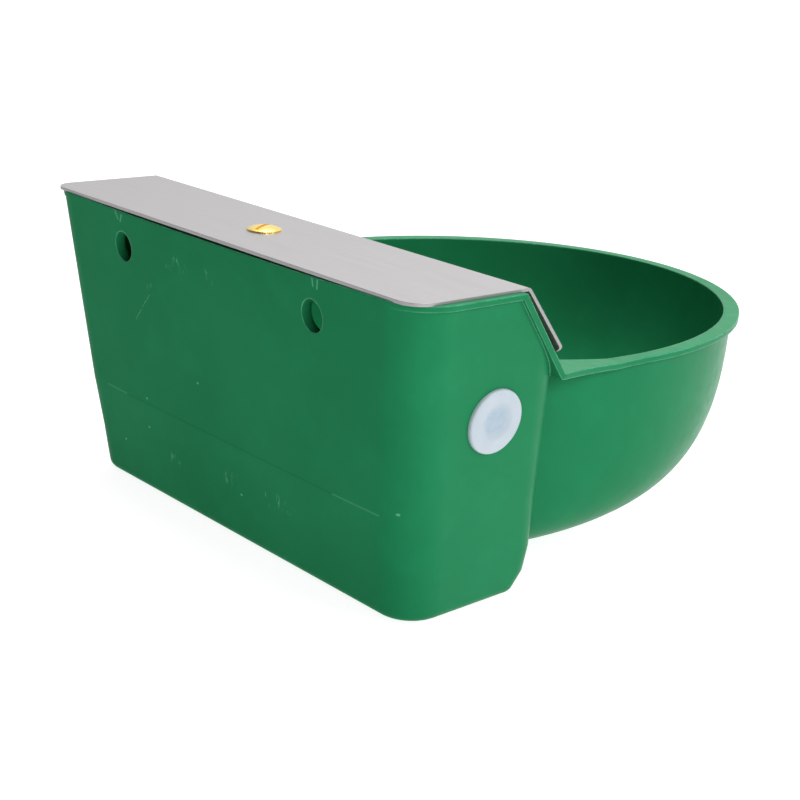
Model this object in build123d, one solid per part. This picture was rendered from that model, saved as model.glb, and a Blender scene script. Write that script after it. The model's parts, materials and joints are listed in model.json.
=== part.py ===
"""Wall-hung float-valve drinking bowl for livestock, in millimetres.

+X is to the right of someone who faces the bowl, -Y points away from the wall, +Z is up.
The origin lies midway between the two wall bolt holes, on the back wall's outer face.
"""

from build123d import *
import os
from math import atan, cos, degrees, radians, sin

# Cover: one bent stainless sheet
COVER_TOP = 20.0
SHEET = 1.5
COVER_WIDTH = 290.0
COVER_BACK_Y = 1.5
COVER_BEND_Y = -62.8
FLAP_DROP = 29.5
HEM_DROP = 2.6
HEM_RETURN = 1.6
BEND_RADIUS = 2.6
COVER_CORNER_R = 11.0
FLAP_CORNER_R = 4.0

# Valve tub: the rectangular part at the back, with draft on every outer wall
WALL = 5.5
TUB_TOP = COVER_TOP - SHEET
TUB_FLOOR = -133.0
FLOOR_TILT = 2.0
CREASE_Z = -81.0
TUB_HALF_WIDTH = 144.4
SIDE_DRAFT = 0.108
BACK_DRAFT = 0.110
LOWER_BACK_DRAFT = 0.153
TUB_FRONT_Y = -93.0
TUB_FOOT_R = 5.0
# Levels of the tub from foot to top: height, how far the front wall has turned in there, and
# the radius of the back and of the front corners
TUB_LEVELS = (
    (TUB_FLOOR, 9.0, 18.0, 9.0),
    (-120.0, 2.0, 19.0, 10.0),
    (-108.0, 0.0, 20.0, 11.0),
    (CREASE_Z, 0.0, 20.0, 14.0),
    (TUB_TOP, 0.0, 20.0, 22.0),
)
INNER_R = 2.5

# Top edge of the body in side view: level, sloping under the flap, then the bowl's rim
SLOPE_TOP_Y = -58.4
SLOPE_FOOT_Z = -22.3
RIM_Z = -25.4
RIM_LEVEL_Y = -132.8
LIP_DROP = 2.7
LIP_SHIFT = 1.6
TUB_LIP = 1.7
TUB_LIP_BACK_R = 20.9
SAG_DEPTH = 1.1
SAG_HALF_LENGTH = 118.0

# Bowl: elliptical rim, steep sides, rounded front
RIM_A = 137.8
RIM_B = 151.2
RIM_CENTRE_Y = -162.0
BOWL_LIP = 3.0
BOWL_WALL = 4.0
HULL_TOP_Z = -27.0
HULL_FOOT_Z = -124.4
HULL_REAR_Y = -2.8
HULL_CUT_Y = -60.0
SIDE_POWERS = (5.11, 5.58)
FRONT_POWERS = (2.38, 7.0)
HULL_LEVELS = (-0.5, -0.2, 0.0, 0.15, 0.3, 0.45, 0.58, 0.7, 0.8, 0.87, 0.92, 0.955, 0.98, 0.993)
FAIRING_BACK_Y = -78.0
FAIRING_WAIST = (139.3, -116.0)
FAIRING_END = (137.5, -152.0)

# Wall bolts, inlet holes and the post under the cover screw
BOLT_SPACING = 154.0
BOLT_HOLE_R = 7.5
INLET_Y = -51.5
INLET_Z = -38.5
INLET_HOLE_R = 10.75
SCREW_Y = -29.8
POST_R = 9.0
POST_RIB = 7.0
INSERT_R = 5.5
INSERT_LENGTH = 16.0

# Cover screw, M8 slotted pan head
SCREW_R = 4.0
SCREW_LENGTH = 16.5
SCREW_HEAD_R = 8.2
SCREW_HEAD_H = 3.6
SLOT_WIDTH = 2.0
SLOT_DEPTH = 1.7
SCREW_CLEARANCE = 0.08

# Float valve, on an axis square to the drafted side wall (x runs out of the wall)
TAIL_R = 10.48
TAIL_LENGTH = 24.0
NECK_R = 10.3
SEAT_BACK = -8.0
FLANGE_R = 16.0
FLANGE_T = 4.0
BARREL_R = 11.5
BARREL_END = -45.0
INLET_BORE_R = 6.5
GUIDE_R = 6.0
NOZZLE_BACK = -20.0
NOZZLE_TIP = -24.0
ORIFICE_R = 2.0
WASHER_T = 1.5
WASHER_R = 15.0
NUT_FLATS = 30.0
NUT_T = 6.0
LUG_GAP = 8.8
LUG_T = 4.0
LUG_R = 5.5
PIVOT_X = -37.0
PIVOT_Z = -13.0
PIN_R = 2.0
PIN_HEAD_R = 3.6
PIN_HEAD_T = 1.4
CLIP_T = 1.0

# Plunger, lever and float
PLUNGER_R = GUIDE_R - 0.07
PLUNGER_LENGTH = 16.3
SEAL_R = 4.4
SEAL_T = 2.7
SEAL_PROUD = 0.7
SWING = 12.0
FINGER_R = 2.0
FINGER_SLOT = 4.5
LEVER_T = 8.0
LEVER_H = 6.0
HUB_R = 5.6
ARM_DROP = 7.0
STUD_X = -170.0
PAD_LENGTH = 52.0
PAD_WIDTH = 15.0
ADJUST = 10.0
FLOAT_SIZE = (80.0, 48.0, 38.0)
FLOAT_CORNER_R = 8.0
FLOAT_EDGE_R = 4.0
STUD_R = 2.5
STUD_SUNK = 14.0
STUD_PROUD = 15.0
WING_SPAN = 22.0

# Blanking plug in the unused inlet hole
PLUG_FLANGE_R = 15.0
PLUG_FLANGE_T = 1.9
PLUG_STEM_R = INLET_HOLE_R - 0.1
PLUG_STEM_LENGTH = 13.0
PLUG_DISH_R = 8.5
PLUG_DISH_DEPTH = 0.8

SIDE_TILT = degrees(atan(SIDE_DRAFT))
INLET_X = TUB_HALF_WIDTH + SIDE_DRAFT * INLET_Z
SLOPE = 1.0 / 0.776
SLOPE_FOOT_Y = SLOPE_TOP_Y - (TUB_TOP - SLOPE_FOOT_Z) / SLOPE
FAR = 400.0


def side_x(z):
    """Outer half width of the tub at height z."""
    return TUB_HALF_WIDTH + SIDE_DRAFT * z


def back_y(z):
    """Outer face of the back wall, steeper above the crease than below it."""
    upper = max(z, CREASE_Z)
    return BACK_DRAFT * upper + LOWER_BACK_DRAFT * min(z - CREASE_Z, 0)


def yz_face(points):
    """Face in the YZ plane, its local x along +Y and its local y along +Z."""
    return Plane.YZ * make_face(Polyline(*points, close=True))


def along_x(face, half=FAR):
    return extrude(face, amount=half, both=True)


# ---------------------------------------------------------------- body


def tub_section(z, toe, back_r, front_r, side=0.0, back=0.0, front=0.0):
    """Rounded rectangle at height z, each wall moved inwards by its own inset."""
    half = side_x(z) - side
    y_back = back_y(z) - back
    y_front = TUB_FRONT_Y + toe + front
    plate = make_face(
        Polyline((-half, y_front), (half, y_front), (half, y_back), (-half, y_back), close=True)
    )
    plate = fillet(plate.vertices().sort_by(Axis.Y)[2:], back_r)
    plate = fillet(plate.vertices().sort_by(Axis.Y)[:2], front_r)
    tilt = FLOOR_TILT if z < TUB_LEVELS[1][0] else 0.0
    return Location((0, 0, z), (-tilt, 0, 0)) * plate


def with_planes(form):
    """The same solid, with each lofted wall that is flat turned into a plane."""
    faces = [Face(face.outer_wire()) if face.is_planar else face for face in form.faces()]
    return Solid(Shell(faces)).clean()


def tub_form():
    """Drafted box whose front wall turns in towards the foot."""
    form = with_planes(loft([tub_section(*level) for level in TUB_LEVELS], ruled=True))
    return fillet(form.faces().sort_by(Axis.Z)[0].edges(), TUB_FOOT_R)


def tub_room():
    """Inside of the valve chamber: the box again, one wall thickness smaller, open at the top."""
    sections = []
    for z, toe, back_r, front_r in TUB_LEVELS:
        height = z + WALL if z == TUB_FLOOR else z
        radii = [max(r - WALL, INNER_R) for r in (back_r, front_r)]
        sections.append(tub_section(height, toe, *radii, side=WALL, back=WALL, front=WALL))
    mouth = extrude(sections[-1].face(), amount=SHEET)
    return with_planes(loft(sections, ruled=True)) + mouth


def bowl_section(share, inset):
    """Ellipse at a share of the hull's depth: narrower and further back as it goes down.

    The wall is upright above the hull's top, where the share is negative.
    """
    depth = max(share, 0.0)
    width = (1 - depth ** SIDE_POWERS[0]) ** (1 / SIDE_POWERS[1])
    reach = (1 - depth ** FRONT_POWERS[0]) ** (1 / FRONT_POWERS[1])
    half_a = (RIM_A - BOWL_LIP - inset) * width
    rear = HULL_REAR_Y - inset
    front = RIM_CENTRE_Y - RIM_B + BOWL_LIP + inset
    half_b = (rear - front) * reach / 2
    z = HULL_TOP_Z + (HULL_FOOT_Z + inset - HULL_TOP_Z) * share
    return Pos(0, rear - half_b, z) * Ellipse(half_a, half_b)


def bowl_form(inset):
    """Bowl hull in front of the tub, its outer surface moved inwards by the inset."""
    sections = [bowl_section(share, inset) for share in reversed(HULL_LEVELS)]
    hull = loft([section.face() for section in sections])
    keep = Pos(0, (HULL_CUT_Y - FAR) / 2, 0) * Box(FAR, FAR + HULL_CUT_Y, FAR)
    return hull & keep


def edge_line():
    """Top edge of the body in side view, from the wall to past the bowl's front."""
    return [
        (FAR / 10, TUB_TOP),
        (SLOPE_TOP_Y, TUB_TOP),
        (SLOPE_FOOT_Y, SLOPE_FOOT_Z),
        (RIM_LEVEL_Y, RIM_Z),
        (-FAR, RIM_Z),
    ]


def trimmed_away():
    line = edge_line()
    return along_x(yz_face(line + [(-FAR, FAR), (FAR / 10, FAR)]))


def lip():
    """Turned-out lip: a band that follows the top edge, wider round the bowl."""
    line = edge_line()
    under = [(y + LIP_SHIFT, z - LIP_DROP) for y, z in reversed(line)]
    band = along_x(yz_face(line + under))
    levels = [(z, 0.0, TUB_LIP_BACK_R, TUB_LIP) for z in (CREASE_Z, TUB_TOP)]
    tub_lip = loft([tub_section(*level, side=-TUB_LIP) for level in levels], ruled=True)
    corner = (side_x(SLOPE_FOOT_Z) + TUB_LIP, SLOPE_FOOT_Y)
    waist_line = (corner, FAIRING_WAIST, FAIRING_END)
    left, right = (ThreePointArc(*[(side * x, y) for x, y in waist_line]) for side in (-1, 1))
    back = Polyline(left @ 0, (-corner[0], FAIRING_BACK_Y), (corner[0], FAIRING_BACK_Y), right @ 0)
    fairing = make_face(left + back + right + Line(left @ 1, right @ 1))
    plan = Pos(0, RIM_CENTRE_Y) * Ellipse(RIM_A, RIM_B) + fairing
    in_front = Pos(0, FAIRING_BACK_Y - FAR / 2, 0) * Box(FAR, FAR, FAR)
    rim = extrude(plan, amount=FAR / 2, both=True) & in_front
    return (tub_lip & band) + (rim & band)


def cover_post():
    """Moulded post for the cover screw's insert, tied to the back wall by a rib."""
    height = TUB_TOP - TUB_FLOOR - WALL / 2
    base = TUB_FLOOR + WALL / 2
    post = Pos(0, SCREW_Y, base + height / 2) * Cylinder(POST_R, height)
    rib_back = back_y(TUB_TOP) - WALL / 2
    rib = yz_face([(SCREW_Y, base), (back_y(base) - 1, base), (rib_back, TUB_TOP), (SCREW_Y, TUB_TOP)])
    return post + along_x(rib, POST_RIB / 2)


def sag():
    """Shallow dip in the long back edge, which the sheet bridges."""
    z = TUB_TOP
    arc = ThreePointArc((-SAG_HALF_LENGTH, z), (0, z - SAG_DEPTH), (SAG_HALF_LENGTH, z))
    face = Plane.XZ * make_face(arc + Line((SAG_HALF_LENGTH, z), (-SAG_HALF_LENGTH, z)))
    return extrude(face, amount=WALL * 2, both=True)


def inlet_place(side):
    """Frame on the outer face of a side wall: its x axis points straight out of the wall."""
    if side > 0:
        return Location((INLET_X, INLET_Y, INLET_Z), (0, SIDE_TILT, 0))
    return Location((-INLET_X, INLET_Y, INLET_Z), (0, 180 - SIDE_TILT, 0))


def rod_x(radius, start, end):
    """Cylinder on the local x axis."""
    return Pos((start + end) / 2, 0, 0) * Rot(0, 90, 0) * Cylinder(radius, abs(end - start))


def bowl_body():
    shell = tub_form() + bowl_form(0.0)
    shell -= trimmed_away()
    shell += lip()
    shell -= tub_room() + bowl_form(BOWL_WALL)
    shell += cover_post()
    shell -= sag()
    for x in (-BOLT_SPACING / 2, BOLT_SPACING / 2):
        shell -= Pos(x, 0, 0) * Rot(90, 0, 0) * Cylinder(BOLT_HOLE_R, 6 * WALL)
    for side in (-1, 1):
        shell -= inlet_place(side) * rod_x(INLET_HOLE_R, -3 * WALL, 2 * WALL)
    shell -= Pos(0, SCREW_Y, TUB_TOP - INSERT_LENGTH / 2) * Cylinder(INSERT_R, INSERT_LENGTH)
    return shell


# ---------------------------------------------------------------- cover


def cover():
    lean = 1 / SLOPE
    bottom = COVER_TOP - FLAP_DROP
    line = FilletPolyline(
        (COVER_BACK_Y, COVER_TOP),
        (COVER_BEND_Y, COVER_TOP),
        (COVER_BEND_Y - FLAP_DROP * lean, bottom),
        (COVER_BEND_Y - FLAP_DROP * lean + HEM_RETURN, bottom - HEM_DROP),
        radius=BEND_RADIUS,
    )
    strip = Wire(line.edges()).offset_2d(SHEET, side=Side.LEFT)
    sheet = along_x(Plane.YZ * make_face(strip.edges()), COVER_WIDTH / 2)
    plan = Pos(0, COVER_BACK_Y - FAR / 2) * Rectangle(COVER_WIDTH, FAR)
    back_corners = plan.vertices().sort_by(Axis.Y)[2:]
    sheet &= extrude(fillet(back_corners, COVER_CORNER_R), amount=FAR, both=True)
    front = Pos(0, FAR / 2 + bottom - HEM_DROP) * Rectangle(COVER_WIDTH, FAR)
    low_corners = front.vertices().sort_by(Axis.Y)[:2]
    sheet &= extrude(Plane.XZ * fillet(low_corners, FLAP_CORNER_R), amount=FAR, both=True)
    return sheet - Pos(0, SCREW_Y, COVER_TOP) * Cylinder(SCREW_R + 0.5, 4 * SHEET)


def cover_screw():
    """Pan head with a domed top and one slot."""
    flat = SCREW_HEAD_H * 0.35
    shoulder = (SCREW_HEAD_R * 0.6, SCREW_HEAD_H * 0.82)
    arc = ThreePointArc((0, SCREW_HEAD_H), shoulder, (SCREW_HEAD_R, flat))
    side = Polyline((SCREW_HEAD_R, flat), (SCREW_HEAD_R, 0), (0, 0), (0, SCREW_HEAD_H))
    head = revolve(Plane.XZ * make_face(arc + side), Axis.Z)
    head -= Pos(0, 0, SCREW_HEAD_H) * Box(2 * SCREW_HEAD_R + 1, SLOT_WIDTH, 2 * SLOT_DEPTH)
    shank = Pos(0, 0, -SCREW_LENGTH / 2) * Cylinder(SCREW_R, SCREW_LENGTH)
    return Pos(0, SCREW_Y, COVER_TOP) * Rot(0, 0, 35) * (head + shank)


def screw_insert():
    """Brass insert pressed into the post."""
    length = INSERT_LENGTH - 0.2
    ring = Cylinder(INSERT_R - 0.02, length) - Cylinder(SCREW_R + SCREW_CLEARANCE, length)
    return Pos(0, SCREW_Y, TUB_TOP - INSERT_LENGTH / 2) * ring


# ---------------------------------------------------------------- float valve


def valve_body():
    body = rod_x(NECK_R, WASHER_T + NUT_T + 0.5, SEAT_BACK)
    body += rod_x(TAIL_R, TAIL_LENGTH, WASHER_T + NUT_T + 0.5)
    body += rod_x(FLANGE_R, SEAT_BACK, SEAT_BACK - FLANGE_T)
    body += rod_x(BARREL_R, SEAT_BACK - FLANGE_T, BARREL_END)
    for side in (-1, 1):
        y = side * (LUG_GAP + LUG_T) / 2
        lug = Pos(PIVOT_X, y, PIVOT_Z) * Rot(90, 0, 0) * Cylinder(LUG_R, LUG_T)
        lug += Pos(PIVOT_X, y, PIVOT_Z / 2) * Box(2 * LUG_R, LUG_T, -PIVOT_Z)
        body += lug
    body -= rod_x(INLET_BORE_R, TAIL_LENGTH, NOZZLE_BACK)
    body -= rod_x(GUIDE_R, NOZZLE_BACK, BARREL_END)
    slot_start = PIVOT_X + LUG_R + 1
    slot_length = slot_start - BARREL_END
    body -= Pos(slot_start - slot_length / 2, 0, -BARREL_R) * Box(slot_length, LUG_GAP, 2 * BARREL_R)
    body -= Pos(NOZZLE_TIP - 1, 0, -BARREL_R / 2) * Cylinder(3.2, BARREL_R)
    body -= Pos(PIVOT_X, 0, PIVOT_Z) * Rot(90, 0, 0) * Cylinder(PIN_R + 0.03, 4 * LUG_GAP)
    return body


def ring_x(outer, inner, start, end):
    return rod_x(outer, start, end) - rod_x(inner, start, end)


def nozzle():
    """Seat of the valve: a brass bush with a raised nose round its orifice."""
    nose = Polyline(
        (NOZZLE_BACK + 8, 0),
        (NOZZLE_BACK + 8, INLET_BORE_R - 0.04),
        (NOZZLE_BACK + 0.05, INLET_BORE_R - 0.04),
        (NOZZLE_BACK + 0.05, 4.6),
        (NOZZLE_TIP, 3.2),
        (NOZZLE_TIP, 0),
        close=True,
    )
    bush = revolve(make_face(nose), Axis.X)
    bush -= rod_x(ORIFICE_R, NOZZLE_TIP - 1, NOZZLE_BACK + 10)
    return bush - rod_x(4.5, NOZZLE_BACK + 3, NOZZLE_BACK + 10)


def lock_nut():
    hexagon = RegularPolygon(NUT_FLATS / 2, 6, major_radius=False)
    nut = Pos(WASHER_T, 0, 0) * Rot(0, 90, 0) * extrude(hexagon, amount=NUT_T)
    return nut - rod_x(NECK_R + 0.05, 0, 2 * NUT_T)


def pivot_pin():
    half = LUG_GAP / 2 + LUG_T + 2.5
    pin = Rot(90, 0, 0) * Cylinder(PIN_R, 2 * half)
    head_y = -(LUG_GAP / 2 + LUG_T + PIN_HEAD_T / 2 + 0.05)
    pin += Pos(0, head_y, 0) * Rot(90, 0, 0) * Cylinder(PIN_HEAD_R, PIN_HEAD_T)
    return Pos(PIVOT_X, 0, PIVOT_Z) * pin


def pin_clip():
    """Open spring clip on the pin's free end."""
    y = LUG_GAP / 2 + LUG_T + CLIP_T / 2 + 0.2
    ring = Cylinder(PIN_HEAD_R + 0.3, CLIP_T) - Cylinder(PIN_R + 0.02, CLIP_T)
    ring -= Pos(PIN_HEAD_R, 0, 0) * Box(2 * PIN_HEAD_R, 1.6 * PIN_R, CLIP_T)
    return Pos(PIVOT_X, y, PIVOT_Z) * Rot(90, 0, 0) * ring


def finger_reach():
    return -PIVOT_Z


def open_travel():
    """How far the plunger moves when the float swings from its lowest to its highest."""
    return 2 * finger_reach() * sin(radians(SWING / 2))


def plunger_front():
    return NOZZLE_TIP - 0.1 - open_travel() - SEAL_PROUD


def plunger():
    front = plunger_front()
    rod = rod_x(PLUNGER_R, front, front - PLUNGER_LENGTH)
    rod -= rod_x(SEAL_R + 0.05, front + 1, front - SEAL_T + SEAL_PROUD)
    slot_x = PIVOT_X - finger_reach() * sin(radians(SWING / 2))
    slot_top = FINGER_R + 0.8
    slot_height = slot_top + 2 * PLUNGER_R
    return rod - Pos(slot_x, 0, slot_top - slot_height / 2) * Box(FINGER_SLOT, LEVER_T + 0.6, slot_height)


def seal_disc():
    front = plunger_front() + SEAL_PROUD
    return rod_x(SEAL_R, front, front - SEAL_T + 0.02)


# ---------------------------------------------------------------- lever and float


def pivot_point():
    return inlet_place(1) * Location((PIVOT_X, 0, PIVOT_Z))


def lever_place():
    """Frame at the pivot, its -x axis along the lever as it hangs at rest."""
    at = pivot_point().position
    return Location((at.X, at.Y, at.Z), (0, -ARM_DROP, 0))


def float_lever():
    """Hub, finger into the plunger and a long arm that ends in a slotted pad."""
    reach = finger_reach()
    tilt = SIDE_TILT - SWING / 2 + ARM_DROP
    hub = Rot(90, 0, 0) * Cylinder(HUB_R, LEVER_T)
    finger_width = 2 * FINGER_R * 0.7
    finger = Pos(0, 0, reach / 2) * Box(finger_width, LEVER_T - 0.6, reach)
    finger += Pos(0, 0, reach) * Rot(90, 0, 0) * Cylinder(FINGER_R, LEVER_T - 0.6)
    arm_end = STUD_X + PAD_LENGTH / 2 - 4
    arm = Pos(arm_end / 2, 0, 0) * Box(-arm_end, LEVER_T, LEVER_H)
    arm -= Pos(arm_end / 2 - 8, LEVER_T / 2, 0) * Box(-arm_end - 40, 4, LEVER_H - 3)
    arm -= Pos(arm_end / 2 - 8, -LEVER_T / 2, 0) * Box(-arm_end - 40, 4, LEVER_H - 3)
    pad = Pos(STUD_X, 0, 0) * extrude(SlotOverall(PAD_LENGTH, PAD_WIDTH), amount=LEVER_H / 2, both=True)
    slot = SlotCenterToCenter(2 * ADJUST, 2 * STUD_R + 0.8)
    pad -= Pos(STUD_X, 0, 0) * extrude(slot, amount=LEVER_H, both=True)
    lever = hub + Rot(0, tilt, 0) * finger + arm + pad
    return lever - Rot(90, 0, 0) * Cylinder(PIN_R + 0.06, 2 * LEVER_T)


def float_block():
    """Closed plastic float under the pad."""
    length, width, height = FLOAT_SIZE
    block = extrude(RectangleRounded(length, width, FLOAT_CORNER_R), amount=height)
    ends = block.faces().sort_by(Axis.Z)
    block = fillet(ends[0].edges() + ends[-1].edges(), FLOAT_EDGE_R)
    block -= Pos(0, 0, height - STUD_SUNK / 2) * Cylinder(STUD_R + 0.05, STUD_SUNK)
    return Pos(STUD_X, 0, -LEVER_H / 2 - height - 0.1) * block


def float_stud():
    top = STUD_PROUD - LEVER_H / 2
    length = STUD_PROUD + STUD_SUNK - 0.2
    return Pos(STUD_X, 0, top - length / 2) * Cylinder(STUD_R, length)


def float_washer():
    ring = Cylinder(6.5, 1.0) - Cylinder(STUD_R + 0.05, 1.0)
    return Pos(STUD_X, 0, LEVER_H / 2 + 0.6) * ring


def wing_nut():
    boss = Cone(4.6, 3.6, 4.4) - Cylinder(STUD_R + 0.05, 5)
    tip = WING_SPAN / 2
    outline = ((3, -1.6), (tip, 2.4), (tip, 6.2), (3, 2.2))
    for side in (-1, 1):
        wing = Plane.XZ * make_face(Polyline(*[(side * x, z) for x, z in outline], close=True))
        boss += extrude(wing, amount=0.9, both=True)
    return Pos(STUD_X, 0, LEVER_H / 2 + 1.2 + 2.2) * Rot(0, 0, 25) * boss


# ---------------------------------------------------------------- plug


def blanking_plug():
    """Push-in cap: a dished flange on a hollow stem."""
    flange = rod_x(PLUG_FLANGE_R, 0.02, PLUG_FLANGE_T)
    rim = flange.faces().sort_by(Axis.X)[-1].edges()
    flange = fillet(rim, 1.1)
    flange -= rod_x(PLUG_DISH_R, PLUG_FLANGE_T - PLUG_DISH_DEPTH, PLUG_FLANGE_T + 1)
    stem = rod_x(PLUG_STEM_R, 0.02, -PLUG_STEM_LENGTH)
    return flange + stem - rod_x(PLUG_STEM_R - 1.6, -0.6, -PLUG_STEM_LENGTH)


VALVE = inlet_place(1)
LEVER = lever_place()

NODES = {
    "bowl_body": bowl_body(),
    "cover": cover(),
    "cover_screw": cover_screw(),
    "screw_insert": screw_insert(),
    "blanking_plug": inlet_place(-1) * blanking_plug(),
    "valve_body": VALVE * valve_body(),
    "valve_gasket": VALVE * ring_x(FLANGE_R - 0.5, NECK_R + 0.05, -WALL, SEAT_BACK),
    "tail_washer": VALVE * ring_x(WASHER_R, NECK_R + 0.05, 0.02, WASHER_T),
    "lock_nut": VALVE * lock_nut(),
    "nozzle": VALVE * nozzle(),
    "plunger": VALVE * plunger(),
    "seal_disc": VALVE * seal_disc(),
    "pivot_pin": VALVE * pivot_pin(),
    "pin_clip": VALVE * pin_clip(),
    "float_lever": LEVER * float_lever(),
    "float": LEVER * float_block(),
    "float_stud": LEVER * float_stud(),
    "float_washer": LEVER * float_washer(),
    "wing_nut": LEVER * wing_nut(),
}

os.makedirs("parts", exist_ok=True)
for name, shape in NODES.items():
    export_step(shape, f"parts/{name}.step")
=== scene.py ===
"""Looks of the wall-hung drinking bowl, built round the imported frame. Metres, +Z up, wall at +Y."""

import json
import math

import bmesh
import bpy
from mathutils import Matrix, Vector


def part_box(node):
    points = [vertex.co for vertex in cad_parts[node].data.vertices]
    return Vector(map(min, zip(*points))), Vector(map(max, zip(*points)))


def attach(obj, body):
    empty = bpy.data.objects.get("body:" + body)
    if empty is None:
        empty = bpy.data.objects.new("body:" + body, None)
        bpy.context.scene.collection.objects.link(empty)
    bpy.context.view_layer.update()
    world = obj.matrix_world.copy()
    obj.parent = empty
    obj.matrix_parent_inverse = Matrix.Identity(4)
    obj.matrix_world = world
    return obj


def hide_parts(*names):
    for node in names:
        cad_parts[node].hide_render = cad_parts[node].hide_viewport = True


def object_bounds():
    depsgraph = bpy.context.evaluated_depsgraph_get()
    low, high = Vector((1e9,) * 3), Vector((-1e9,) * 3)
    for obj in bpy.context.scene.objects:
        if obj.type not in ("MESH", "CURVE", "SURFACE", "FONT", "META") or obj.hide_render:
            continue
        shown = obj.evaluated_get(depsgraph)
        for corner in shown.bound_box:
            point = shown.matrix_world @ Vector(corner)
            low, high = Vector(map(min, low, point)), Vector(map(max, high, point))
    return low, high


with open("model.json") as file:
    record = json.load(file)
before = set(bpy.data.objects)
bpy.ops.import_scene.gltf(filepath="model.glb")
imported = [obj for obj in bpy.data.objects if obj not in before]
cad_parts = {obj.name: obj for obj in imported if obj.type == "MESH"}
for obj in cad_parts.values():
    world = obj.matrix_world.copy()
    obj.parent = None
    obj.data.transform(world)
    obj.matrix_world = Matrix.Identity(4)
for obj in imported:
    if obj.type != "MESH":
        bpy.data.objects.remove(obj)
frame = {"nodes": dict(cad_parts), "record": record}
CAD_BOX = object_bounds()
NODES = frame["nodes"]

# Camera: place and turn in the row frame, for a square picture
CAMERA_AT = Vector((-0.6162, 0.4197, 0.1792))
AZIMUTH = math.radians(228.77)
ELEVATION = math.radians(17.48)
ROLL = math.radians(3.09)
LENS_MM = 73.85
SENSOR_MM = 36.0
CLIP_NEAR, CLIP_FAR = 0.01, 30

# Lamps: name, place, what it points at, size, watts
LAMPS = (
    ("key", (-1.7, -0.75, 1.0), (-0.10, -0.12, -0.05), (0.8, 0.8), 16.5),
    ("corner", (-0.80, 0.24, 0.28), (-0.15, -0.02, -0.05), (0.3, 0.3), 2.3),
    ("top", (0.1, -0.45, 1.9), (0, -0.12, 0), (1.4, 1.0), 42),
)

# White sweep round the bowl: the way its bright side lies, and how its strength rises towards it
SWEEP_SIDE = (0.30, -0.72, 0.62)
SWEEP_SPREAD = (0.2, 0.9, 0.07, 1.1)

# Floor: half its side, its gap under the bowl, and a glow of its own that keeps it white
FLOOR_HALF = 6.0
FLOOR_GAP = 0.0005
FLOOR_GREY = (0.32, 0.32, 0.32, 1)
FLOOR_ROUGH = 0.9
FLOOR_GLOW = 0.88

# Part of a noise's range that a grain is spread over
GRAIN = (0.3, 0.7)

# Green plastic: the darker and the lighter end of its grain, the colours laid over it, the tint of its
# reflections, and the radius of its arrises
GREEN = ((0.010, 0.165, 0.063), (0.015, 0.192, 0.077))
GREEN_CLOUD = (0.015, 0.23, 0.094)
# Painted shade along the middle of the back wall's crease
GREEN_CREASE_SHADE = (0.004, 0.10, 0.035)
# Colour of the back wall's marks, also used for painted highlights at the crease's ends
GREEN_SCUFF_AND_HIGHLIGHT = (0.14, 0.46, 0.30)
# Painted highlight along the green's arrises
GREEN_EDGE_HIGHLIGHT = (0.14, 0.50, 0.32)
GREEN_GLINT = (0.6, 1.0, 0.85, 1)
GREEN_ARRIS_R = 0.0015

# Specular level of the green: two depths into the wall with the level at each, and the arrises' level
BACK_MATT = (-0.018, -0.002, 0.055, 0.006)
ARRIS_SHINE = 0.16

# Cover: steel grey, how metallic it is, and the radius of its arrises
SHEET_GREY = ((0.358, 0.348, 0.352), (0.376, 0.366, 0.370))
SHEET_METALLIC = 0.85
SHEET_ARRIS_R = 0.0004

# Metals: darker, lighter, range of roughness
METAL_GRAIN = 120
BRASS = ((0.86, 0.59, 0.155), (0.97, 0.77, 0.27), (0.2, 0.36))
STEEL = ((0.48, 0.48, 0.49), (0.62, 0.62, 0.62), (0.28, 0.4))

# Plastics and rubber: how far light goes into them, then each one's darker and lighter end, its range
# of roughness and the share of light that goes in
LIGHT_REACH = (0.004, 0.004, 0.005)
PLUG_WHITE = ((0.385, 0.445, 0.50), (0.43, 0.484, 0.535), (0.35, 0.5), 0.4)
VALVE_WHITE = ((0.66, 0.66, 0.62), (0.75, 0.75, 0.72), (0.4, 0.55), 0.1)
LEVER_BLACK = ((0.02, 0.02, 0.022), (0.035, 0.035, 0.038), (0.4, 0.6), 0.0)
FLOAT_ORANGE = ((0.72, 0.22, 0.04), (0.8, 0.28, 0.06), (0.35, 0.5), 0.0)
RUBBER_BLACK = ((0.012, 0.012, 0.012), (0.022, 0.022, 0.022), (0.6, 0.8), 0.0)

# Painted shade in the plug's middle: its colour, its place, and the radii where it is full and where it
# is gone
PLUG_PAINTED_SHADE = (0.285, 0.368, 0.45)
PLUG_DISH = (-0.1418, -0.0515, -0.0383)
PLUG_SHADE_R = (0.0045, 0.0095)

# Back wall: its slope, and how thick a skin counts as its outer face
BACK_SLOPE = 0.110
BACK_SKIN = 0.0045

# Drawn marks: how far from its middle a line is full and where it ends, in metres for each millimetre
# of its width, and the share of a patch's squared radius within which it is full
LINE_CORE, LINE_EDGE = 0.0003, 0.0007
PATCH_CORE = 0.35

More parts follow.
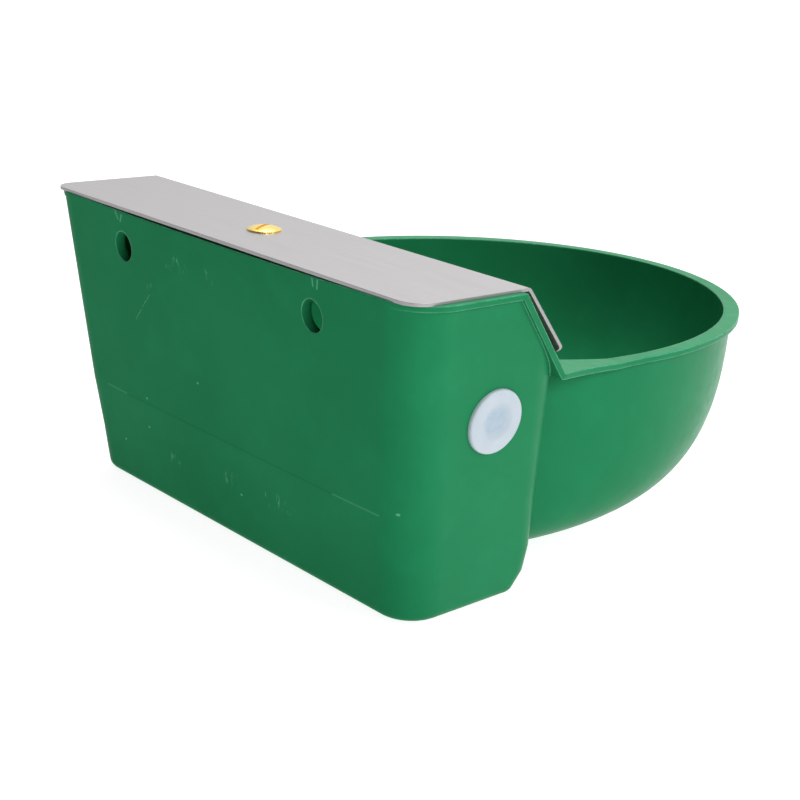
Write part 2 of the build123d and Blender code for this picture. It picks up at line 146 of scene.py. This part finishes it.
# Marks on the back wall's outer face: places in millimetres along x and z, patches with their radii
NICK_LINES = (
    ((82.1, 17.5), (79.8, 13.6)),
    ((77.9, 12.6), (76.2, 16.2)),
    ((-78.5, 17.0), (-78.9, 13.9)),
    ((-82.3, 17.0), (-81.6, 13.2)),
)
SCRATCHES = (((56.3, -20.5), (64.0, -28.2)), ((65.0, -29.6), (71.5, -36.5)))
SPECKS = (
    (18.8, -56.6),
    (68.2, -78.2),
    (69.5, -94.4),
    (95.9, -108.9),
    (-10.6, -106.2),
    (-126.7, -77.6),
)
SPECK_RADII = (1.0, 0.7)
SCUFFS = (
    ((31.5, 0.5), (12.0, 4.5)),
    ((3.0, -2.5), (7.0, 7.0)),
    ((55.0, -17.0), (8.0, 4.0)),
    ((45.0, -105.5), (9.0, 6.0)),
    ((-4.0, -100.0), (12.0, 5.0)),
    ((-40.0, -100.5), (16.0, 5.0)),
)
# Crease of the back wall: painted highlights along its ends, painted shade along its middle
CREASE_HIGHLIGHT_LINES = (((107.0, -80.6), (88.0, -81.0)), ((-85.0, -81.0), (-117.0, -80.6)))
CREASE_SHADE_LINE = ((88.0, -81.0), (-85.0, -81.0))
NICK_WIDTH = 0.9
SCRATCH_WIDTH = 0.5
CREASE_WIDTH = 0.8

# Cover screw: how far it is turned from the drawing, and its head's height against the drawing's
SCREW_TURN = math.radians(-103)
HEAD_SHARE = 0.68
COVER_TOP = 0.020

# Threads drawn by bump: pitch, and where each starts and ends along its axis
THREAD_DEPTH = 0.0005
M8_PITCH = 0.00125
SCREW_THREAD = (0.0005, 0.014)
M5_PITCH = 0.0008
STUD_THREAD = (-0.02, 0.02)
STUD_AXIS = (-0.121869, 0, 0.992546)

# Pipe thread on the inlet tail: a ridge whose root is sunk in the tail, and the half widths of root
# and crest as shares of the pitch
TAIL_AXIS = (0.994219, 0, -0.107376)
PIPE_PITCH = 0.001814
PIPE_RIDGE = 0.0005
PIPE_SUNK = 0.0001
PIPE_ROOT, PIPE_CREST = 0.46, 0.1
THREAD_SIDES = 48

# Blanking plug: where its flange seats, and its profile as (out from the seat, radius)
PLUG_SEAT = (-0.140239, -0.0515, -0.038499)
PLUG_AXIS = (-TAIL_AXIS[0], 0, TAIL_AXIS[2])
PLUG_SIDES = 96
PLUG_FACE = 0.0019
PLUG_DIP = 0.0005
DIP_FROM, DIP_TO = 0.0060, 0.0094
DIP_STEPS = 8
PLUG_RIM = (
    (PLUG_FACE, 0.0138),
    (0.00182, 0.01435),
    (0.0015, 0.0148),
    (0.0010, 0.0150),
    (0.00002, 0.0150),
)
PLUG_STEM = ((0.00002, 0.01065), (-0.013, 0.01065), (-0.013, 0.00905), (-0.0006, 0.00905))
SHARP_FROM = math.radians(40)


def add(name, data):
    thing = bpy.data.objects.new(name, data)
    bpy.context.scene.collection.objects.link(thing)
    return thing


def frame_round(axis):
    """An axis and two directions across it, all of length 1."""
    axis = Vector(axis).normalized()
    across = axis.orthogonal().normalized()
    return axis, across, axis.cross(across)


def middle(node):
    low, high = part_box(node)
    return (Vector(low) + Vector(high)) / 2


# ---------------------------------------------------------------- camera, light and floor


def camera():
    back = Vector(
        (
            math.sin(AZIMUTH) * math.cos(ELEVATION),
            -math.cos(AZIMUTH) * math.cos(ELEVATION),
            math.sin(ELEVATION),
        )
    )
    level = (-back).cross(Vector((0, 0, 1))).normalized()
    over = level.cross(-back)
    right = math.cos(ROLL) * level + math.sin(ROLL) * over
    up = -math.sin(ROLL) * level + math.cos(ROLL) * over
    data = bpy.data.cameras.new("camera")
    data.lens = LENS_MM
    data.sensor_width = SENSOR_MM
    data.clip_start = CLIP_NEAR
    data.clip_end = CLIP_FAR
    cam = add("camera", data)
    cam.matrix_world = Matrix.Translation(CAMERA_AT) @ Matrix((right, up, back)).transposed().to_4x4()
    bpy.context.scene.camera = cam


def lamp(name, place, target, size, watts):
    data = bpy.data.lights.new(name, "AREA")
    data.shape = "RECTANGLE"
    data.size, data.size_y = size
    data.energy = watts
    light = add(name, data)
    light.location = place
    light.rotation_euler = (Vector(target) - Vector(place)).to_track_quat("-Z", "Y").to_euler()


def studio():
    """Lamps, and a white sweep behind the bowl and above it that is dimmer on the camera's side."""
    world = bpy.data.worlds.new("studio")
    world.use_nodes = True
    tree = world.node_tree
    background = tree.nodes["Background"]
    direction = tree.nodes.new("ShaderNodeTexCoord").outputs["Generated"]
    away = tree.nodes.new("ShaderNodeVectorMath")
    away.operation = "DOT_PRODUCT"
    away.inputs[1].default_value = SWEEP_SIDE
    tree.links.new(direction, away.inputs[0])
    spread = tree.nodes.new("ShaderNodeMapRange")
    for name, number in zip(("From Min", "From Max", "To Min", "To Max"), SWEEP_SPREAD):
        spread.inputs[name].default_value = number
    tree.links.new(away.outputs["Value"], spread.inputs["Value"])
    tree.links.new(spread.outputs["Result"], background.inputs["Strength"])
    background.inputs["Color"].default_value = (1.0, 1.0, 1.0, 1)
    bpy.context.scene.world = world
    for values in LAMPS:
        lamp(*values)
    view = bpy.context.scene.view_settings
    view.view_transform = "Standard"
    view.look = "None"


def floor():
    z = CAD_BOX[0][2] - FLOOR_GAP
    signs = ((-1, -1), (1, -1), (1, 1), (-1, 1))
    mesh = bpy.data.meshes.new("floor")
    mesh.from_pydata([(x * FLOOR_HALF, y * FLOOR_HALF, z) for x, y in signs], [], [(0, 1, 2, 3)])
    plane = add("floor", mesh)
    material = bpy.data.materials.new("floor")
    material.use_nodes = True
    shader = material.node_tree.nodes["Principled BSDF"]
    shader.inputs["Base Color"].default_value = FLOOR_GREY
    shader.inputs["Roughness"].default_value = FLOOR_ROUGH
    shader.inputs["Emission Color"].default_value = (1, 1, 1, 1)
    shader.inputs["Emission Strength"].default_value = FLOOR_GLOW
    mesh.materials.append(material)


# ---------------------------------------------------------------- materials


class Shade:
    """Short helper round one material's node tree. Places are object coordinates, in metres."""

    def __init__(self, name):
        self.material = bpy.data.materials.new(name)
        self.material.use_nodes = True
        self.tree = self.material.node_tree
        self.shader = self.tree.nodes["Principled BSDF"]
        self.place = self.tree.nodes.new("ShaderNodeTexCoord").outputs["Object"]

    def feed(self, source, socket):
        """Joins an input to another node's output, or sets it to plain numbers."""
        if isinstance(source, bpy.types.NodeSocket):
            self.tree.links.new(source, socket)
        elif socket.type == "RGBA":
            socket.default_value = (*source, 1)
        else:
            socket.default_value = source

    def set(self, **values):
        for name, value in values.items():
            self.shader.inputs[name.replace("_", " ")].default_value = value
        return self

    def color(self, output):
        self.feed(output, self.shader.inputs["Base Color"])
        return self

    def rough(self, output):
        self.feed(output, self.shader.inputs["Roughness"])
        return self

    def gloss(self, output):
        self.feed(output, self.shader.inputs["Specular IOR Level"])
        return self

    def bump(self, height, strength, distance):
        """Raises the surface by a height, on top of the rounding and bumps it already has."""
        node = self.tree.nodes.new("ShaderNodeBump")
        node.inputs["Strength"].default_value = strength
        node.inputs["Distance"].default_value = distance
        self.feed(height, node.inputs["Height"])
        previous = self.shader.inputs["Normal"].links
        if previous:
            self.feed(previous[0].from_socket, node.inputs["Normal"])
        self.feed(node.outputs["Normal"], self.shader.inputs["Normal"])
        return self

    def soft_arris(self, radius, samples=6):
        """Rounds the look of sharp edges by a real radius."""
        node = self.tree.nodes.new("ShaderNodeBevel")
        node.samples = samples
        node.inputs["Radius"].default_value = radius
        self.rounded = node.outputs["Normal"]
        self.feed(self.rounded, self.shader.inputs["Normal"])
        return self

    def math(self, operation, a, b=0.0, clamp=False):
        node = self.tree.nodes.new("ShaderNodeMath")
        node.operation = operation
        node.use_clamp = clamp
        self.feed(a, node.inputs[0])
        self.feed(b, node.inputs[1])
        return node.outputs["Value"]

    def times(self, a, b):
        return self.math("MULTIPLY", a, b)

    def most(self, values):
        total = values[0]
        for value in values[1:]:
            total = self.math("MAXIMUM", total, value)
        return total

    def vectors(self, operation, a, b, result="Value"):
        node = self.tree.nodes.new("ShaderNodeVectorMath")
        node.operation = operation
        self.feed(a, node.inputs[0])
        self.feed(b, node.inputs[1])
        return node.outputs[result]

    def axes(self):
        node = self.tree.nodes.new("ShaderNodeSeparateXYZ")
        self.feed(self.place, node.inputs["Vector"])
        return node.outputs

    def noise(self, scale, detail, rough, stretch=(1, 1, 1), seed=(0, 0, 0)):
        mapping = self.tree.nodes.new("ShaderNodeMapping")
        mapping.inputs["Scale"].default_value = stretch
        mapping.inputs["Location"].default_value = seed
        self.feed(self.place, mapping.inputs["Vector"])
        node = self.tree.nodes.new("ShaderNodeTexNoise")
        node.inputs["Scale"].default_value = scale
        node.inputs["Detail"].default_value = detail
        node.inputs["Roughness"].default_value = rough
        self.feed(mapping.outputs["Vector"], node.inputs["Vector"])
        return node.outputs["Fac"]

    def ramp(self, value, low, high, colors):
        node = self.tree.nodes.new("ShaderNodeValToRGB")
        for element, position, color in zip(node.color_ramp.elements, (low, high), colors):
            element.position = position
            element.color = (*color, 1)
        self.feed(value, node.inputs["Fac"])
        return node.outputs["Color"]

    def span(self, value, low, high, start, end):
        """Turns low to high into start to end, and stays at the nearer of those beyond them."""
        node = self.tree.nodes.new("ShaderNodeMapRange")
        for name, number in (("From Min", low), ("From Max", high), ("To Min", start), ("To Max", end)):
            node.inputs[name].default_value = number
        self.feed(value, node.inputs["Value"])
        return node.outputs["Result"]

    def mix(self, factor, a, b):
        node = self.tree.nodes.new("ShaderNodeMix")
        node.data_type = "RGBA"
        for source, index in ((factor, 0), (a, 6), (b, 7)):
            self.feed(source, node.inputs[index])
        return node.outputs[2]

    def line(self, start, end, width):
        """1 on a line between two (x, z) places in millimetres, 0 beyond its width."""
        x, _, z = self.axes()
        ax, az, bx, bz = (value / 1000 for value in (*start, *end))
        dx, dz = bx - ax, bz - az
        from_x = self.math("SUBTRACT", x, ax)
        from_z = self.math("SUBTRACT", z, az)
        along = self.math("ADD", self.times(from_x, dx), self.times(from_z, dz))
        share = self.math("DIVIDE", along, dx * dx + dz * dz, clamp=True)
        off_x = self.math("SUBTRACT", from_x, self.times(share, dx))
        off_z = self.math("SUBTRACT", from_z, self.times(share, dz))
        square = self.math("ADD", self.times(off_x, off_x), self.times(off_z, off_z))
        return self.span(self.math("SQRT", square), width * LINE_CORE, width * LINE_EDGE, 1.0, 0.0)

    def patch(self, centre, radii):
        """1 in the middle of an ellipse at an (x, z) place in millimetres, fading to 0 at its edge."""
        x, _, z = self.axes()
        parts = []
        for value, centre_mm, radius_mm in zip((x, z), centre, radii):
            away = self.math("SUBTRACT", value, centre_mm / 1000)
            share = self.math("DIVIDE", away, radius_mm / 1000)
            parts.append(self.times(share, share))
        return self.span(self.math("ADD", *parts), PATCH_CORE, 1.0, 1.0, 0.0)

    def near(self, centre, full, gone):
        """1 within a distance of a place, fading to 0 further out."""
        return self.span(self.vectors("DISTANCE", self.place, centre), full, gone, 1.0, 0.0)

    def edges(self, sharp, flat):
        """1 where soft_arris turned the surface most, 0 on open faces."""
        surface = self.tree.nodes.new("ShaderNodeNewGeometry").outputs["Normal"]
        return self.span(self.vectors("DOT_PRODUCT", self.rounded, surface), sharp, flat, 1.0, 0.0)

    def helix(self, origin, axis, pitch, start, end):
        """Height of a thread round an axis, between two places along it."""
        away = self.vectors("SUBTRACT", self.place, origin, "Vector")
        along, u, v = (self.vectors("DOT_PRODUCT", away, way) for way in frame_round(axis))
        turn = self.math("DIVIDE", self.math("ARCTAN2", v, u), 2 * math.pi)
        phase = self.math("ADD", self.math("DIVIDE", along, pitch), turn)
        ridge = self.math("PINGPONG", phase, 0.5)
        past_start = self.math("GREATER_THAN", along, start)
        before_end = self.math("LESS_THAN", along, end)
        return self.times(ridge, self.times(past_start, before_end))


def depth_in(s):
    """How far a place lies beyond the back wall's outer face, below 0 inside the bowl."""
    _, y, z = s.axes()
    return s.math("SUBTRACT", y, s.times(z, BACK_SLOPE))


def on_back(s):
    """1 on the back wall's outer face, 0 elsewhere."""
    return s.math("GREATER_THAN", depth_in(s), -BACK_SKIN)


def back_marks_and_highlights(s, outside):
    """Nicks, scratches and specks that only the back wall's outer face has, and painted highlights at
    its crease's ends.
    """
    fine = s.noise(420, 4, 0.7, stretch=(1, 1, 0.35))
    hair = s.span(fine, 0.56, 0.68, 0.0, 0.55)
    nicks = s.most([s.line(*ends, NICK_WIDTH) for ends in NICK_LINES])
    scratches = s.most([s.line(*ends, SCRATCH_WIDTH) for ends in SCRATCHES])
    broken = s.times(scratches, s.span(fine, 0.4, 0.6, 0.08, 0.55))
    specks = s.most([s.patch(spot, SPECK_RADII) for spot in SPECKS])
    worn = s.times(s.most([s.patch(*area) for area in SCUFFS]), hair)
    # Painted highlights along the crease's ends
    crease_painted_light = s.most([s.line(*ends, CREASE_WIDTH) for ends in CREASE_HIGHLIGHT_LINES])
    marks_and_highlights = s.most([s.times(nicks, 0.6), broken, s.times(specks, 0.7), worn, s.times(crease_painted_light, 0.22)])
    return s.times(marks_and_highlights, outside)


def green_plastic():
    """Moulded green, cloudy, with painted highlights on its arrises, painted light at the back wall's
    crease, and marks.
    """
    s = Shade("green_plastic").soft_arris(GREEN_ARRIS_R, 8)
    tint = s.ramp(s.noise(9, 2, 0.5), *GRAIN, GREEN)
    cloud = s.noise(60, 4, 0.6, seed=(3, 1, 2))
    tint = s.mix(s.span(cloud, 0.45, 0.75, 0.0, 0.3), tint, GREEN_CLOUD)
    back = on_back(s)
    # Painted shade along the middle of the back wall's crease
    crease_painted_light = s.times(s.times(s.line(*CREASE_SHADE_LINE, CREASE_WIDTH), back), 0.35)
    tint = s.mix(crease_painted_light, tint, GREEN_CREASE_SHADE)
    tint = s.mix(back_marks_and_highlights(s, back), tint, GREEN_SCUFF_AND_HIGHLIGHT)
    # Painted highlight along the arrises, broken up by noise
    edge_highlight = s.times(s.edges(0.78, 0.93), s.span(s.noise(130, 4, 0.7), 0.35, 0.65, 0.25, 0.8))
    s.color(s.mix(edge_highlight, tint, GREEN_EDGE_HIGHLIGHT))
    s.rough(s.span(s.noise(140, 3, 0.6), *GRAIN, 0.28, 0.38))
    s.gloss(s.most([s.span(depth_in(s), *BACK_MATT), s.times(s.edges(0.72, 0.97), ARRIS_SHINE)]))
    s.bump(s.noise(55, 2, 0.5, seed=(1, 5, 2)), 0.12, 0.0004)
    s.bump(s.noise(900, 2, 0.5), 0.10, 0.00006)
    return s.set(Specular_Tint=GREEN_GLINT).material


def cover_sheet():
    """Stainless sheet, brushed along x."""
    s = Shade("cover_sheet").soft_arris(SHEET_ARRIS_R)
    s.color(s.ramp(s.noise(14, 5, 0.65, stretch=(1, 70, 70)), 0.2, 0.8, SHEET_GREY))
    s.rough(s.span(s.noise(20, 4, 0.6, stretch=(1, 30, 30)), *GRAIN, 0.42, 0.55))
    s.bump(s.noise(50, 3, 0.6, stretch=(1, 60, 60)), 0.05, 0.00005)
    return s.set(Metallic=SHEET_METALLIC).material


def metal(name, dark, light, rough, thread=None):
    s = Shade(name)
    if thread:
        s.bump(s.helix(*thread), 1.0, THREAD_DEPTH)
    s.color(s.ramp(s.noise(METAL_GRAIN, 3, 0.6), *GRAIN, (dark, light)))
    s.rough(s.span(s.noise(METAL_GRAIN * 3, 3, 0.6), *GRAIN, *rough))
    s.bump(s.noise(METAL_GRAIN * 8, 2, 0.5), 0.08, 0.00004)
    return s.set(Metallic=1.0).material


def moulded(name, dark, light, rough, light_in, shade=None):
    """Plastic or rubber in one colour, or with a function that shades part of it."""
    s = Shade(name)
    body = s.ramp(s.noise(70, 3, 0.55), *GRAIN, (dark, light))
    s.color(shade(s, body) if shade else body)
    s.rough(s.span(s.noise(260, 3, 0.6), *GRAIN, *rough))
    s.bump(s.noise(500, 2, 0.5), 0.08, 0.00005)
    return s.set(Subsurface_Weight=light_in, Subsurface_Radius=LIGHT_REACH).material


def stem_painted_shade(s, body):
    """The plug's white, with painted shade where its hollow stem lies behind the dish."""
    cloud = s.span(s.noise(320, 3, 0.6), *GRAIN, 0.55, 1.0)
    return s.mix(s.times(s.near(PLUG_DISH, *PLUG_SHADE_R), cloud), body, PLUG_PAINTED_SHADE)


def screw_thread():
    """M8 thread on the cover screw's shank, from its foot."""
    low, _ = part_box("cover_screw")
    x, y, _ = middle("cover_screw")
    return (x, y, low[2]), (0, 0, 1), M8_PITCH, *SCREW_THREAD


def stud_thread():
    """M5 thread on the float stud, square to the lever, from its middle."""
    return middle("float_stud"), STUD_AXIS, M5_PITCH, *STUD_THREAD


def dress():
    """One procedural material for each slot, given to the CAD nodes by the record's slots."""
    slots = {
        "green_plastic": green_plastic(),
        "cover_sheet": cover_sheet(),
        "screw_brass": metal("screw_brass", *BRASS),
        "pin_steel": metal("pin_steel", *STEEL),
        # The plug's white, with painted shade in the middle of its dish
        "plug_plastic": moulded("plug_plastic", *PLUG_WHITE, stem_painted_shade),
        "valve_plastic": moulded("valve_plastic", *VALVE_WHITE),
        "lever_plastic": moulded("lever_plastic", *LEVER_BLACK),
        "float_plastic": moulded("float_plastic", *FLOAT_ORANGE),
        "seal_rubber": moulded("seal_rubber", *RUBBER_BLACK),
    }
    threaded = {
        "cover_screw": metal("cover_screw_brass", *BRASS, screw_thread()),
        "float_stud": metal("float_stud_brass", *BRASS, stud_thread()),
    }
    for part in frame["record"]["subparts"]:
        node = NODES[part["node"]]
        node.data.materials.clear()
        node.data.materials.append(threaded.get(part["node"], slots[part["material_slot"]]))
    return slots


# ---------------------------------------------------------------- pieces made here


def skin(name, rows):
    """Closed mesh through rows of points, each row a loop of the same number of points."""
    mesh = bmesh.new()
    loops = [[mesh.verts.new(point) for point in row] for row in rows]
    for near, far in zip(loops, loops[1:]):
        for k in range(len(near)):
            after = (k + 1) % len(near)
            mesh.faces.new((near[k], near[after], far[after], far[k]))
    mesh.faces.new(loops[0])
    mesh.faces.new(loops[-1][::-1])
    bmesh.ops.recalc_face_normals(mesh, faces=mesh.faces)
    data = bpy.data.meshes.new(name)
    mesh.to_mesh(data)
    mesh.free()
    return data


def tail_thread():
    """Half-inch pipe thread on the inlet tail, as a ridge that winds round it."""
    axis, across, over = frame_round(TAIL_AXIS)
    mount = next(m for m in frame["record"]["mounts"] if m["name"] == "inlet_tail")
    centre = Vector(mount["pos_m"])
    root_r = mount["dims"]["r_mm"] / 1000 - PIPE_SUNK
    turns = (mount["dims"]["length_mm"] / 1000 - PIPE_PITCH) / PIPE_PITCH
    steps = int(turns * THREAD_SIDES)
    root_half = axis * PIPE_PITCH * PIPE_ROOT
    crest_half = axis * PIPE_PITCH * PIPE_CREST
    rows = []
    for i in range(steps + 1):
        angle = 2 * math.pi * i / THREAD_SIDES
        fade = min(1.0, i / THREAD_SIDES, (steps - i) / THREAD_SIDES)
        out = math.cos(angle) * across + math.sin(angle) * over
        at = centre + axis * (PIPE_PITCH * (angle / (2 * math.pi) - turns / 2))
        root = at + out * root_r
        crest = at + out * (root_r + PIPE_RIDGE * fade)
        rows.append((root - root_half, crest - crest_half, crest + crest_half, root + root_half))
    data = skin("tail_thread", rows)
    data.materials.append(SLOTS["valve_plastic"])
    ridge = add("tail_thread", data)
    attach(ridge, "tub")


def slotted_screw():
    """The cover screw, its slot turned and its head as low as in the photo."""
    data = NODES["cover_screw"].data.copy()
    data.name = "cover_screw_seen"
    centre = middle("cover_screw")
    turn = Matrix.Rotation(SCREW_TURN, 3, "Z")
    for vertex in data.vertices:
        vertex.co = centre + turn @ (vertex.co - centre)
        above = vertex.co.z - COVER_TOP
        if above > 0:
            vertex.co.z = COVER_TOP + above * HEAD_SHARE
    screw = add("cover_screw_seen", data)
    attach(screw, "lid_screw")
    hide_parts("cover_screw")


def plug_profile():
    """The plug's outline from its middle, a dish that runs out as half a wave, rim and stem."""
    dip = []
    for i in range(DIP_STEPS + 1):
        share = i / DIP_STEPS
        depth = PLUG_DIP * (1 + math.cos(math.pi * share)) / 2
        dip.append((PLUG_FACE - depth, DIP_FROM + (DIP_TO - DIP_FROM) * share))
    return [(PLUG_FACE - PLUG_DIP, DIP_FROM / 2), *dip, *PLUG_RIM, *PLUG_STEM]


def soft_dished_plug():
    """The blanking plug turned from its profile, its dish running out softly as moulded ones do."""
    axis, across, over = frame_round(PLUG_AXIS)
    seat = Vector(PLUG_SEAT)
    angles = [2 * math.pi * k / PLUG_SIDES for k in range(PLUG_SIDES)]
    round_it = [math.cos(angle) * across + math.sin(angle) * over for angle in angles]
    rows = [[seat + axis * out + radius * way for way in round_it] for out, radius in plug_profile()]
    data = skin("blanking_plug_seen", rows)
    data.shade_smooth()
    data.set_sharp_from_angle(angle=SHARP_FROM)
    data.materials.append(SLOTS["plug_plastic"])
    plug = add("blanking_plug_seen", data)
    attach(plug, "side_plug")
    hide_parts("blanking_plug")


camera()
studio()
floor()
SLOTS = dress()
tail_thread()
slotted_screw()
soft_dished_plug()
